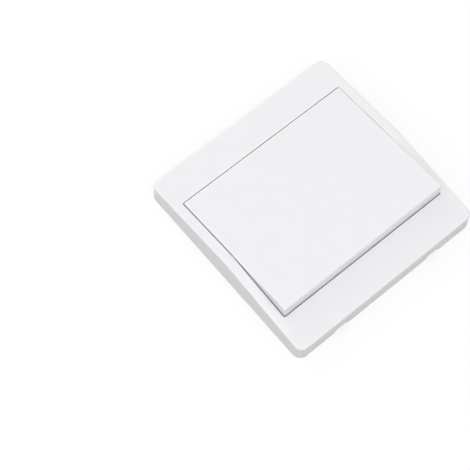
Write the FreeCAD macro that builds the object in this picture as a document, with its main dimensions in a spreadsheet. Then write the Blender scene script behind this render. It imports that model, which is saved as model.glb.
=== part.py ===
import FreeCAD, Part
import math
import os
import re
import Sketcher

# Wireless remote wall switch, in millimetres.
# The origin is the centre of the back, +Z points out of the wall and +Y up it.

SIZES = (
    ("plate_width", 86.0, "plate, along X"),
    ("plate_height", 86.0, "plate, along Y"),
    ("plate_corner", 3.6, "radius of the plate's upright corners"),
    ("plate_draft", 2.0, "lean of the plate's outer walls, degrees"),
    ("rim_rise", 8.0, "height of the face at its upper and lower edge"),
    ("ridge_rise", 12.2, "height where the two slopes of the face meet"),
    ("ridge_blend", 20.0, "radius that rounds the ridge"),
    ("rim_round", 0.7, "radius of the plate's outer front edge"),
    ("face_wall", 2.0, "thickness of the face, straight back"),
    ("skirt_wall", 2.0, "thickness of the plate's outer walls"),
    ("side_margin", 4.3, "face beside the window, left and right"),
    ("end_margin", 14.0, "face above and below the window"),
    ("window_corner", 0.7, "radius of the window's corners"),
    ("lip_wall", 1.2, "wall round the window, behind the face"),
    ("lip_rise", 4.2, "height where that wall and its ribs begin"),
    ("frame_rib", 1.0, "thickness of the frame's ribs"),
    ("notch_inset", 20.25, "middle of a notch, in from the plate's side"),
    ("notch_width", 6.5, "notch, at the wall's foot"),
    ("notch_slant", 0.8, "how far each side of a notch leans in"),
    ("notch_rise", 2.0, "height of a notch"),
    ("base_gap", 0.25, "clearance between frame and base"),
    ("base_floor", 1.6, "thickness of the base's floor"),
    ("base_wall", 1.2, "thickness of the base's rim wall"),
    ("base_wall_rise", 3.2, "height of the base's rim wall"),
    ("hook_width", 7.0, "snap hook, along X"),
    ("hook_wall", 1.0, "thickness of a snap hook"),
    ("hook_reach", 0.7, "how far a hook's barb stands out"),
    ("hook_rise", 5.7, "height of a hook's top"),
    ("ledge_rise", 3.6, "height of the ledge that a hook holds"),
    ("ledge_height", 0.7, "ledge, along Z"),
    ("ledge_reach", 0.6, "how far a ledge stands in from its wall"),
    ("snap_gap", 0.1, "clearance between barb and ledge"),
    ("slot_width", 4.4, "slot for a wall screw, across"),
    ("slot_length", 8.0, "slot for a wall screw, end to end"),
    ("slot_rim", 1.8, "width of the raised rim round a slot"),
    ("slot_rim_height", 0.6, "height of that rim above the floor"),
    ("key_side_gap", 0.26, "mean gap between key and window, each side"),
    ("key_side_play", 0.21, "how far the key sits to one side"),
    ("key_end_gap", 0.28, "gap between the level key and window, each end"),
    ("key_top_rise", 2.5, "key's front face above its pivot"),
    ("key_depth", 7.0, "depth of the key's walls"),
    ("key_end_lean", 3.0, "lean of the key's end walls, degrees"),
    ("key_face_wall", 2.0, "thickness of the key's front"),
    ("key_wall", 1.5, "thickness of the key's walls"),
    ("key_front_round", 0.9, "radius of the key's lower front edge"),
    ("key_round", 0.45, "radius of the key's other front edges and upright corners"),
    ("key_rib", 1.0, "thickness of the key's ribs"),
    ("key_rib_depth", 1.0, "depth of the ribs over the board"),
    ("key_end_rib_depth", 2.5, "depth of the ribs past the board"),
    ("pin_radius", 1.3, "key's pivot pins"),
    ("pin_length", 1.2, "key's pivot pins, past its side walls"),
    ("pin_gap", 0.05, "radial clearance of a pivot pin"),
    ("pin_boss", 2.4, "radius of the boss behind a pivot pin"),
    ("pin_boss_depth", 1.4, "how far that boss stands into the key"),
    ("stop_gap", 0.1, "clearance between key and stop"),
    ("stop_spacing", 40.0, "between the two stops at each end"),
    ("stop_width", 6.0, "stop, along X"),
    ("stop_thickness", 2.2, "stop, along Y"),
    ("spring_inset", 2.0, "return springs above the board's lower edge"),
    ("spring_wire", 0.25, "radius of the springs' wire"),
    ("spring_coil", 2.25, "radius of the springs' coil, to the wire's middle"),
    ("spring_turns", 2.5, "turns of a return spring"),
    ("spring_seat_gap", 0.05, "clearance at each end of a spring"),
    ("spigot_gap", 0.25, "radial clearance between spigot and spring"),
    ("spigot_wall", 0.8, "thickness of a cross-shaped spigot's arms"),
    ("base_spigot", 2.5, "height of the base's spring spigot"),
    ("key_spigot", 1.5, "length of the key's spring spigot"),
    ("board_width", 46.0, "circuit board, along X"),
    ("board_end_room", 4.8, "between the board and the key's end walls"),
    ("board_thickness", 1.2, "circuit board"),
    ("board_rise", 2.4, "underside of the circuit board"),
    ("board_corner", 1.5, "radius of the board's corners"),
    ("post_inset", 3.5, "board posts, in from the board's edges"),
    ("post_width", 3.6, "board posts, along X and Y"),
    ("peg_radius", 0.9, "locating pegs on two of the posts"),
    ("peg_rise", 4.2, "height of a locating peg's top"),
    ("peg_gap", 0.1, "radial clearance of a peg in the board"),
    ("screw_shank", 0.95, "radius of a board screw's shank"),
    ("screw_gap", 0.05, "radial clearance of a shank in its post"),
    ("screw_length", 2.9, "board screw, under its head"),
    ("screw_head", 1.9, "radius of a board screw's head"),
    ("screw_head_height", 1.2, "board screw's head"),
    ("screw_recess", 0.45, "half width of the cross recess's arm"),
    ("screw_hole_gap", 0.2, "radial clearance of a shank in the board"),
    ("pilot_extra", 0.2, "depth of the post's hole past the screw"),
    ("tact_side", 16.5, "push switch's centre, in from the board's right edge"),
    ("tact_inset", 8.0, "push switch above the board's lower edge"),
    ("tact_width", 6.0, "push switch, along X and Y"),
    ("tact_height", 3.2, "push switch's moulded base"),
    ("tact_cover_wall", 0.25, "push switch's sheet cover"),
    ("tact_well", 2.3, "radius of the well in the switch's base"),
    ("tact_well_depth", 2.0, "depth of that well"),
    ("tact_stem", 1.75, "radius of the plunger's stem"),
    ("tact_flange", 2.1, "radius of the plunger's flange"),
    ("tact_total", 4.3, "height of the switch with its plunger"),
    ("tact_travel", 0.25, "plunger's travel"),
    ("tact_stem_gap", 0.1, "radial clearance of the stem in the cover"),
    ("dome_wall", 0.1, "thickness of the contact dome"),
    ("dome_rise", 0.4, "height of the contact dome"),
    ("dome_crown", 0.9, "radius of the dome's flat crown"),
    ("dome_gap", 0.05, "clearance over the contact dome"),
    ("pusher_width", 1.8, "key's pusher, along X and Y"),
    ("pusher_gap", 0.03, "clearance over the plunger at full travel"),
    ("terminal_width", 0.7, "push switch's terminals"),
    ("terminal_wall", 0.2, "thickness of the terminals"),
    ("terminal_reach", 1.4, "terminals, past the switch's side"),
    ("terminal_spacing", 4.5, "between terminals on one side"),
    ("terminal_rise", 0.9, "height where a terminal leaves the switch"),
    ("cell_x", -9.0, "coin cell's centre, along X"),
    ("cell_inset", 15.0, "coin cell's centre below the board's upper edge"),
    ("cell_radius", 10.0, "coin cell"),
    ("cell_height", 3.2, "coin cell"),
    ("cell_bevel", 0.4, "bevel round the cell's lower face"),
    ("cell_lift", 0.3, "coin cell's underside above the board"),
    ("holder_gap", 0.15, "radial clearance round the cell"),
    ("holder_wall", 1.1, "thickness of the holder's wall"),
    ("holder_height", 2.9, "holder's wall above the board"),
    ("holder_mouth", 13.0, "opening that the cell slides through"),
    ("contact_wall", 0.25, "thickness of the cell's contacts"),
    ("contact_width", 5.0, "width of the positive contact"),
    ("contact_foot", 2.0, "positive contact's foot on the board"),
    ("contact_gap", 0.05, "clearance over and under the cell"),
    ("negative_width", 6.0, "negative contact, along X and Y"),
    ("chip_side", 8.8, "encoder chip's centre, in from the board's right edge"),
    ("chip_y", -2.0, "encoder chip's centre, along Y"),
    ("chip_length", 5.0, "encoder chip, along Y"),
    ("chip_width", 4.0, "encoder chip, along X"),
    ("chip_height", 1.4, "encoder chip"),
    ("chip_lift", 0.15, "encoder chip's underside above the board"),
    ("chip_draft", 7.0, "lean of the chip's sides, degrees"),
    ("lead_pitch", 1.27, "between the chip's leads"),
    ("lead_width", 0.4, "chip's leads"),
    ("lead_wall", 0.2, "thickness of the chip's leads"),
    ("lead_reach", 1.0, "leads, past the chip's side"),
    ("lead_rise", 0.8, "height where a lead leaves the chip"),
    ("can_side", 11.0, "resonator's centre, in from the board's right edge"),
    ("can_inset", 9.0, "resonator's centre below the board's upper edge"),
    ("can_length", 11.0, "resonator's can, along X"),
    ("can_width", 4.5, "resonator's can, along Y"),
    ("can_height", 3.2, "resonator's can"),
    ("transistor_side", 14.0, "transistor's centre, in from the board's right edge"),
    ("transistor_drop", 7.0, "transistor's centre below the resonator's"),
    ("transistor_length", 2.9, "transistor, along X"),
    ("transistor_width", 1.3, "transistor, along Y"),
    ("transistor_height", 1.0, "transistor"),
    ("antenna_side", 2.5, "antenna loop, in from the board's right edge"),
    ("antenna_inset", 7.0, "antenna's feet, in from the board's ends"),
    ("antenna_width", 1.2, "antenna's strip, along X"),
    ("antenna_wall", 0.4, "thickness of the antenna's strip"),
    ("antenna_rise", 3.2, "top of the antenna above the board"),
    ("antenna_bend", 1.5, "outer radius of the antenna's bends"),
    ("small_length", 1.6, "chip capacitors and resistors, along Y"),
    ("small_width", 0.8, "chip capacitors and resistors, along X"),
    ("capacitor_height", 0.8, "chip capacitors"),
    ("resistor_height", 0.45, "chip resistors"),
    ("small_pitch", 2.2, "between neighbours in a row"),
    ("small_side", 10.5, "first chip of each row, in from the board's right edge"),
    ("capacitor_inset", 5.0, "row of capacitors above the board's lower edge"),
    ("resistor_gap", 1.0, "row of resistors above the encoder chip"),
    ("blank_extra", 1.0, "how far cutting shapes run past what they cut"),
)
NAMES = {name for name, number, note in SIZES}

# Formulas that several pieces share.
GABLE = "atan((ridge_rise - rim_rise) / (plate_height / 2))"
SLOPE = "((ridge_rise - rim_rise) / (plate_height / 2))"
PIVOT_RISE = "(ridge_rise - key_top_rise / cos(" + GABLE + "))"
SKIRT_INNER_X = "(plate_width / 2 - skirt_wall)"
SKIRT_INNER_Y = "(plate_height / 2 - skirt_wall)"
BASE_X = "(plate_width / 2 - skirt_wall - base_gap)"
BASE_Y = "(plate_height / 2 - skirt_wall - base_gap)"
WINDOW_X = "(plate_width / 2 - side_margin)"
WINDOW_Y = "(plate_height / 2 - end_margin)"
NOTCH_X = "(plate_width / 2 - notch_inset)"
KEY_X = "(" + WINDOW_X + " - key_side_gap)"
KEY_Y = "(" + WINDOW_Y + " - key_end_gap)"
KEY_FOOT_Z = "(key_top_rise - key_depth)"
KEY_FOOT_Y = "(" + KEY_Y + " - key_depth * tan(key_end_lean))"
KEY_INNER_Z = "(key_top_rise - key_face_wall)"
BOARD_X = "(board_width / 2)"
BOARD_Y = "(" + KEY_FOOT_Y + " - key_wall - board_end_room)"
BOARD_TOP = "(board_rise + board_thickness)"
POST_X = "(" + BOARD_X + " - post_inset)"
POST_Y = "(" + BOARD_Y + " - post_inset)"
SCREW_X = "((" + BOARD_X + " + " + KEY_X + " - key_wall) / 2)"
SPRING_DROP = "(" + BOARD_Y + " - spring_inset)"
TACT_X = "(" + BOARD_X + " - tact_side)"
TACT_DROP = "(" + BOARD_Y + " - tact_inset)"
CELL_Y = "(" + BOARD_Y + " - cell_inset)"
CAN_Y = "(" + BOARD_Y + " - can_inset)"

doc = FreeCAD.newDocument("WallSwitch")
sheet = doc.addObject("Spreadsheet::Sheet", "Sizes")


def fill_sheet():
    """Write each driving size into a cell of its own."""
    for row, (name, number, note) in enumerate(SIZES, start=1):
        sheet.set("A%d" % row, note)
        sheet.set("B%d" % row, str(number))
        sheet.setAlias("B%d" % row, name)
    doc.recompute()


def cells(text):
    """Point every size named in an expression at its cell."""
    def point(word):
        return "Sizes." + word[0] if word[0] in NAMES else word[0]
    return re.sub(r"[a-z_]+", point, text)


def value(text):
    """Work an expression out as a plain number."""
    result = sheet.evalExpression(cells(text))
    return float(getattr(result, "Value", result))


def minus(text):
    return "-(" + text + ")"


def new_body(label):
    body = doc.addObject("PartDesign::Body", label)
    body.AllowCompound = True
    return body


def new_sketch(body, name, plane, offset="0"):
    """Attach an empty sketch to one of its body's origin planes, moved along its normal."""
    support = [item for item in body.Origin.OriginFeatures if item.Role == plane][0]
    sketch = body.newObject("Sketcher::SketchObject", name)
    sketch.AttachmentSupport = [(support, "")]
    sketch.MapMode = "FlatFace"
    if offset != "0":
        sketch.setExpression("AttachmentOffset.Base.z", cells(offset))
    return sketch


def pin_point(sketch, shape, end, across, along):
    """Tie one point of a sketched shape to two expressions."""
    for kind, text, axis in (("DistanceX", across, -2), ("DistanceY", along, -1)):
        if text == "0":
            sketch.addConstraint(Sketcher.Constraint("PointOnObject", shape, end, axis))
        else:
            rule = Sketcher.Constraint(kind, -1, 1, shape, end, value(text))
            index = sketch.addConstraint(rule)
            sketch.setExpression("Constraints[%d]" % index, cells(text))


def add_polygon(sketch, points):
    """Draw a closed outline through corners that are given as expressions."""
    first = sketch.GeometryCount
    corners = [FreeCAD.Vector(value(across), value(along), 0) for across, along in points]
    for index, corner in enumerate(corners):
        sketch.addGeometry(Part.LineSegment(corner, corners[(index + 1) % len(corners)]))
    for index, (across, along) in enumerate(points):
        shape = first + index
        following = first + (index + 1) % len(points)
        sketch.addConstraint(Sketcher.Constraint("Coincident", shape, 2, following, 1))
        pin_point(sketch, shape, 1, across, along)


def add_rectangle(sketch, left, right, low, high):
    add_polygon(sketch, ((left, low), (right, low), (right, high), (left, high)))


def add_circle(sketch, across, along, radius):
    centre = FreeCAD.Vector(value(across), value(along), 0)
    normal = FreeCAD.Vector(0, 0, 1)
    shape = sketch.addGeometry(Part.Circle(centre, normal, value(radius)))
    pin_point(sketch, shape, 3, across, along)
    index = sketch.addConstraint(Sketcher.Constraint("Radius", shape, value(radius)))
    sketch.setExpression("Constraints[%d]" % index, cells(radius))


def add_slot(sketch, across, along, half_length, half_width):
    """Draw a slot that runs along the sketch's first axis: two lines and two half circles."""
    reach = "(" + half_length + " - " + half_width + ")"
    left = "(" + across + " - " + reach + ")"
    right = "(" + across + " + " + reach + ")"
    top = along + " + " + half_width
    low = along + " - " + half_width
    up = FreeCAD.Vector(0, 0, 1)
    ends = []
    for x, turn in ((right, -90), (left, 90)):
        centre = FreeCAD.Vector(value(x), value(along), 0)
        circle = Part.Circle(centre, up, value(half_width))
        start = math.radians(turn)
        ends.append(sketch.addGeometry(Part.ArcOfCircle(circle, start, start + math.pi)))
    upper = sketch.addGeometry(Part.LineSegment(
        FreeCAD.Vector(value(right), value(top), 0), FreeCAD.Vector(value(left), value(top), 0)))
    lower = sketch.addGeometry(Part.LineSegment(
        FreeCAD.Vector(value(left), value(low), 0), FreeCAD.Vector(value(right), value(low), 0)))
    for shape, end, other, side in ((ends[0], 2, upper, 1), (upper, 2, ends[1], 1),
                                    (ends[1], 2, lower, 1), (lower, 2, ends[0], 1)):
        sketch.addConstraint(Sketcher.Constraint("Tangent", shape, end, other, side))
    pin_point(sketch, ends[0], 3, right, along)
    index = sketch.addConstraint(Sketcher.Constraint("DistanceX", -1, 1, ends[1], 3, value(left)))
    sketch.setExpression("Constraints[%d]" % index, cells(left))
    index = sketch.addConstraint(Sketcher.Constraint("Radius", ends[0], value(half_width)))
    sketch.setExpression("Constraints[%d]" % index, cells(half_width))


def extrude(body, kind, name, sketch, length, symmetric=False, reverse=False, draft=None):
    """Pad or pocket a sketch by a length that is an expression."""
    before = body.Shape.Volume if kind == "Pocket" else 0
    feature = body.newObject("PartDesign::" + kind, name)
    feature.Profile = sketch
    feature.SideType = "Symmetric" if symmetric else "One side"
    feature.Reversed = reverse
    feature.setExpression("Length", cells(length))
    if draft:
        feature.setExpression("TaperAngle", cells(draft))
    doc.recompute()
    if kind == "Pocket" and not feature.Shape.Volume < before - 1e-6:
        raise RuntimeError(name + " cuts nothing")
    return feature


def pad(body, name, sketch, length, **options):
    return extrude(body, "Pad", name, sketch, length, **options)


def pocket(body, name, sketch, length, **options):
    return extrude(body, "Pocket", name, sketch, length, **options)


def mirror(body, name, feature, plane):
    """Copy a feature across one of the body's origin planes."""
    support = [item for item in body.Origin.OriginFeatures if item.Role == plane][0]
    copy = body.newObject("PartDesign::Mirrored", name)
    copy.Originals = [feature]
    copy.MirrorPlane = (support, [""])
    body.Tip = copy
    doc.recompute()
    return copy


def row(body, name, feature, direction, length, count):
    """Repeat a feature along one of the body's origin axes."""
    support = [item for item in body.Origin.OriginFeatures if item.Role == direction][0]
    copies = body.newObject("PartDesign::LinearPattern", name)
    copies.Originals = [feature]
    copies.Direction = (support, [""])
    copies.setExpression("Length", cells(length))
    copies.Occurrences = count
    body.Tip = copies
    doc.recompute()
    return copies


def revolve(body, name, sketch):
    """Turn a sketch on the upright plane once round the body's Z axis."""
    axis = [item for item in body.Origin.OriginFeatures if item.Role == "Z_Axis"][0]
    feature = body.newObject("PartDesign::Revolution", name)
    feature.Profile = sketch
    feature.ReferenceAxis = (axis, [""])
    feature.Angle = 360
    doc.recompute()
    return feature


def round_edges(body, name, feature, radius, wanted):
    """Fillet the edges that a test on their bounding boxes picks out."""
    picked = ["Edge%d" % (index + 1) for index, edge in enumerate(feature.Shape.Edges)
              if wanted(edge.BoundBox)]
    fillet = body.newObject("PartDesign::Fillet", name)
    fillet.Base = (feature, picked)
    fillet.setExpression("Radius", cells(radius))
    doc.recompute()
    return fillet


def is_upright(box, least):
    return box.ZLength > least and box.XLength < 1.0 and box.YLength < 1.0


def move(item, x="0", y="0", z="0"):
    """Bind a piece's position to expressions."""
    for axis, text in (("x", x), ("y", y), ("z", z)):
        if text != "0":
            item.setExpression("Placement.Base." + axis, cells(text))


def add_roof(sketch, drop, high):
    """Draw the space above a gable that lies a given drop below the front face."""
    reach = "plate_height / 2 + blank_extra"
    eave = "rim_rise - " + SLOPE + " * blank_extra - (" + drop + ")"
    add_polygon(sketch, ((minus(reach), eave), ("0", "ridge_rise - (" + drop + ")"),
                         (reach, eave), (reach, high), (minus(reach), high)))


def front_frame():
    """The plate: a drafted box with a gable face, hollow behind, with a lipped window."""
    body = new_body("front_frame")
    outline = new_sketch(body, "FrameOutline", "XY_Plane")
    add_rectangle(outline, "-plate_width / 2", "plate_width / 2",
                  "-plate_height / 2", "plate_height / 2")
    blank = pad(body, "FrameBlank", outline, "ridge_rise + blank_extra")
    corners = round_edges(body, "FrameCorners", blank, "plate_corner",
                          lambda box: is_upright(box, value("rim_rise")))
    draft = body.newObject("PartDesign::Draft", "FrameDraft")
    sides = ["Face%d" % (index + 1) for index, face in enumerate(corners.Shape.Faces)
             if face.BoundBox.ZLength > value("rim_rise")]
    foot = [item for item in body.Origin.OriginFeatures if item.Role == "XY_Plane"][0]
    draft.Base = (corners, sides)
    draft.NeutralPlane = (foot, [""])
    draft.setExpression("Angle", cells("plate_draft"))
    doc.recompute()

    inside = new_sketch(body, "FrameInside", "YZ_Plane")
    eave = "rim_rise + " + SLOPE + " * skirt_wall - face_wall"
    add_polygon(inside, ((minus(SKIRT_INNER_Y), "-blank_extra"), (SKIRT_INNER_Y, "-blank_extra"),
                         (SKIRT_INNER_Y, eave), ("0", "ridge_rise - face_wall"),
                         (minus(SKIRT_INNER_Y), eave)))
    hollow = pocket(body, "FrameHollow", inside, "2 * " + SKIRT_INNER_X, symmetric=True)
    limit = value(SKIRT_INNER_X) + 0.1
    round_edges(body, "FrameInnerCorners", hollow, "plate_corner - skirt_wall",
                lambda box: is_upright(box, 1.0) and abs(box.XMax) < limit)

    lip = new_sketch(body, "WindowLipRing", "XY_Plane", "lip_rise")
    add_rectangle(lip, minus(WINDOW_X + " + lip_wall"), WINDOW_X + " + lip_wall",
                  minus(WINDOW_Y + " + lip_wall"), WINDOW_Y + " + lip_wall")
    pad(body, "WindowLip", lip, "ridge_rise - lip_rise")
    rib = new_sketch(body, "FrameRibOutline", "XY_Plane", "lip_rise")
    for low, high in ((WINDOW_Y, SKIRT_INNER_Y + " + skirt_wall / 2"),
                      (minus(SKIRT_INNER_Y + " + skirt_wall / 2"), minus(WINDOW_Y))):
        add_rectangle(rib, "-1.5 * " + NOTCH_X + " - frame_rib / 2",
                      "-1.5 * " + NOTCH_X + " + frame_rib / 2", low, high)
    first = pad(body, "FrameRib", rib, "rim_rise - lip_rise - face_wall / 2")
    row(body, "FrameRibs", first, "X_Axis", "3 * " + NOTCH_X, 4)

    above = new_sketch(body, "FrameRoof", "YZ_Plane")
    add_roof(above, "0", "ridge_rise + 2 * blank_extra")
    roof = pocket(body, "FrameRoofCut", above, "plate_width + 2 * blank_extra", symmetric=True)
    crest = round_edges(body, "FrameRidge", roof, "ridge_blend",
                        lambda box: box.XLength > 2 * value(WINDOW_X)
                        and box.ZMin > value("ridge_rise") - 0.1)
    round_edges(body, "FrameRim", crest, "rim_round",
                lambda box: box.ZMin > value("rim_rise") - 0.2 and not (
                    box.XLength > 2 * value(WINDOW_X)
                    and abs(box.YMax) < value(WINDOW_Y)))

    opening = new_sketch(body, "WindowOutline", "XY_Plane", "-blank_extra")
    add_rectangle(opening, minus(WINDOW_X), WINDOW_X, minus(WINDOW_Y), WINDOW_Y)
    window = pocket(body, "Window", opening, "ridge_rise + 3 * blank_extra", reverse=True)
    width = value(WINDOW_X)
    height = value(WINDOW_Y)
    round_edges(body, "WindowCorners", window, "window_corner",
                lambda box: is_upright(box, 1.0) and abs(abs(box.XMax) - width) < 0.01
                and abs(abs(box.YMax) - height) < 0.01)

    bearing = new_sketch(body, "BearingOutline", "YZ_Plane")
    add_circle(bearing, "0", PIVOT_RISE, "pin_radius + pin_gap")
    pocket(body, "Bearings", bearing, "2 * (" + WINDOW_X + " + lip_wall)", symmetric=True)

    notch = new_sketch(body, "NotchOutline", "XZ_Plane", "plate_height / 2 + blank_extra")
    for side in ("-", ""):
        middle = side + NOTCH_X
        add_polygon(notch, ((middle + " - notch_width / 2", "-blank_extra"),
                            (middle + " + notch_width / 2", "-blank_extra"),
                            (middle + " + notch_width / 2", "0"),
                            (middle + " + notch_width / 2 - notch_slant", "notch_rise"),
                            (middle + " - notch_width / 2 + notch_slant", "notch_rise"),
                            (middle + " - notch_width / 2", "0")))
    pocket(body, "Notches", notch, "2 * blank_extra + skirt_wall")

    ledge = new_sketch(body, "LedgeOutline", "XY_Plane", "ledge_rise")
    for side in ("-", ""):
        middle = side + NOTCH_X
        for low, high in ((SKIRT_INNER_Y + " - ledge_reach", SKIRT_INNER_Y + " + skirt_wall / 2"),
                          (minus(SKIRT_INNER_Y + " + skirt_wall / 2"),
                           minus(SKIRT_INNER_Y + " - ledge_reach"))):
            add_rectangle(ledge, middle + " - hook_width / 2", middle + " + hook_width / 2",
                          low, high)
    pad(body, "Ledges", ledge, "ledge_height")
    return body


def mounting_base():
    """The tray behind the plate: floor, rim wall, snap hooks, posts, stops and spring spigots."""
    body = new_body("mounting_base")
    outline = new_sketch(body, "BaseOutline", "XY_Plane")
    add_rectangle(outline, minus(BASE_X), BASE_X, minus(BASE_Y), BASE_Y)
    blank = pad(body, "BaseBlank", outline, "base_wall_rise")
    round_edges(body, "BaseCorners", blank, "plate_corner - skirt_wall - base_gap",
                lambda box: is_upright(box, 1.0))
    well = new_sketch(body, "BaseWellOutline", "XY_Plane", "base_wall_rise")
    add_rectangle(well, minus(BASE_X + " - base_wall"), BASE_X + " - base_wall",
                  minus(BASE_Y + " - base_wall"), BASE_Y + " - base_wall")
    pocket(body, "BaseWell", well, "base_wall_rise - base_floor")

    hook = new_sketch(body, "HookOutline", "YZ_Plane", NOTCH_X)
    outer = "(" + SKIRT_INNER_Y + " - ledge_reach - 3 * snap_gap)"
    catch = "ledge_rise + ledge_height + snap_gap"
    profile = ((outer + " - hook_wall", "base_floor / 2"), (outer, "base_floor / 2"),
               (outer, catch), (outer + " + hook_reach", catch),
               (outer + " + hook_reach", catch + " + 2 * snap_gap"),
               (outer, "hook_rise"), (outer + " - hook_wall", "hook_rise"))
    add_polygon(hook, profile)
    add_polygon(hook, [(minus(along), rise) for along, rise in profile])
    hooks = pad(body, "Hooks", hook, "hook_width", symmetric=True)
    mirror(body, "HooksOtherSide", hooks, "YZ_Plane")

    rim = new_sketch(body, "SlotRimOutline", "XY_Plane", "base_floor / 2")
    for side in ("-", ""):
        add_slot(rim, side + SCREW_X, "0", "(slot_length / 2 + slot_rim)",
                 "(slot_width / 2 + slot_rim)")
    pad(body, "SlotRims", rim, "base_floor / 2 + slot_rim_height")
    slot = new_sketch(body, "SlotOutline", "XY_Plane", "-blank_extra")
    for side in ("-", ""):
        add_slot(slot, side + SCREW_X, "0", "(slot_length / 2)", "(slot_width / 2)")
    pocket(body, "Slots", slot, "base_floor + slot_rim_height + 2 * blank_extra", reverse=True)

    post = new_sketch(body, "PostOutline", "XY_Plane", "base_floor / 2")
    for x in (POST_X, minus(POST_X)):
        for y in (POST_Y, minus(POST_Y)):
            add_rectangle(post, x + " - post_width / 2", x + " + post_width / 2",
                          y + " - post_width / 2", y + " + post_width / 2")
    pad(body, "Posts", post, "board_rise - base_floor / 2")
    peg = new_sketch(body, "PegOutline", "XY_Plane", "board_rise - base_floor / 2")
    add_circle(peg, POST_X, minus(POST_Y), "peg_radius")
    add_circle(peg, minus(POST_X), POST_Y, "peg_radius")
    pad(body, "Pegs", peg, "peg_rise - board_rise + base_floor / 2")
    pilot = new_sketch(body, "PilotOutline", "XY_Plane", "board_rise")
    add_circle(pilot, POST_X, POST_Y, "screw_shank + screw_gap")
    add_circle(pilot, minus(POST_X), minus(POST_Y), "screw_shank + screw_gap")
    pocket(body, "PilotHoles", pilot, "screw_length - board_thickness + pilot_extra")

    stop = new_sketch(body, "StopOutline", "XY_Plane", "base_floor / 2")
    for side in ("-", ""):
        middle = side + "stop_spacing / 2"
        for low, high in ((KEY_FOOT_Y + " - stop_thickness", KEY_FOOT_Y),
                          (minus(KEY_FOOT_Y), minus(KEY_FOOT_Y + " - stop_thickness"))):
            add_rectangle(stop, middle + " - stop_width / 2", middle + " + stop_width / 2",
                          low, high)
    foot = (PIVOT_RISE + " - " + KEY_FOOT_Y + " * sin(" + GABLE + ") + "
            + KEY_FOOT_Z + " * cos(" + GABLE + ")")
    pad(body, "Stops", stop, foot + " - stop_gap - base_floor / 2")

    spigot = new_sketch(body, "SpringSpigotOutline", "XY_Plane", "base_floor / 2")
    add_spigots(spigot)
    pad(body, "SpringSpigots", spigot, "base_floor / 2 + base_spigot")
    return body


def add_spigots(sketch):
    """Draw the two crosses that hold the springs, on the base and on the key alike."""
    reach = "(spring_coil - spring_wire - spigot_gap)"
    half = "spigot_wall / 2"
    corners = ((minus(half), minus(reach)), (half, minus(reach)), (half, minus(half)),
               (reach, minus(half)), (reach, half), (half, half), (half, reach),
               (minus(half), reach), (minus(half), half), (minus(reach), half),
               (minus(reach), minus(half)), (minus(half), minus(half)))
    for side in ("-", ""):
        add_polygon(sketch, [(side + SCREW_X + " + " + across, minus(SPRING_DROP) + " + " + along)
                             for across, along in corners])


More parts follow.
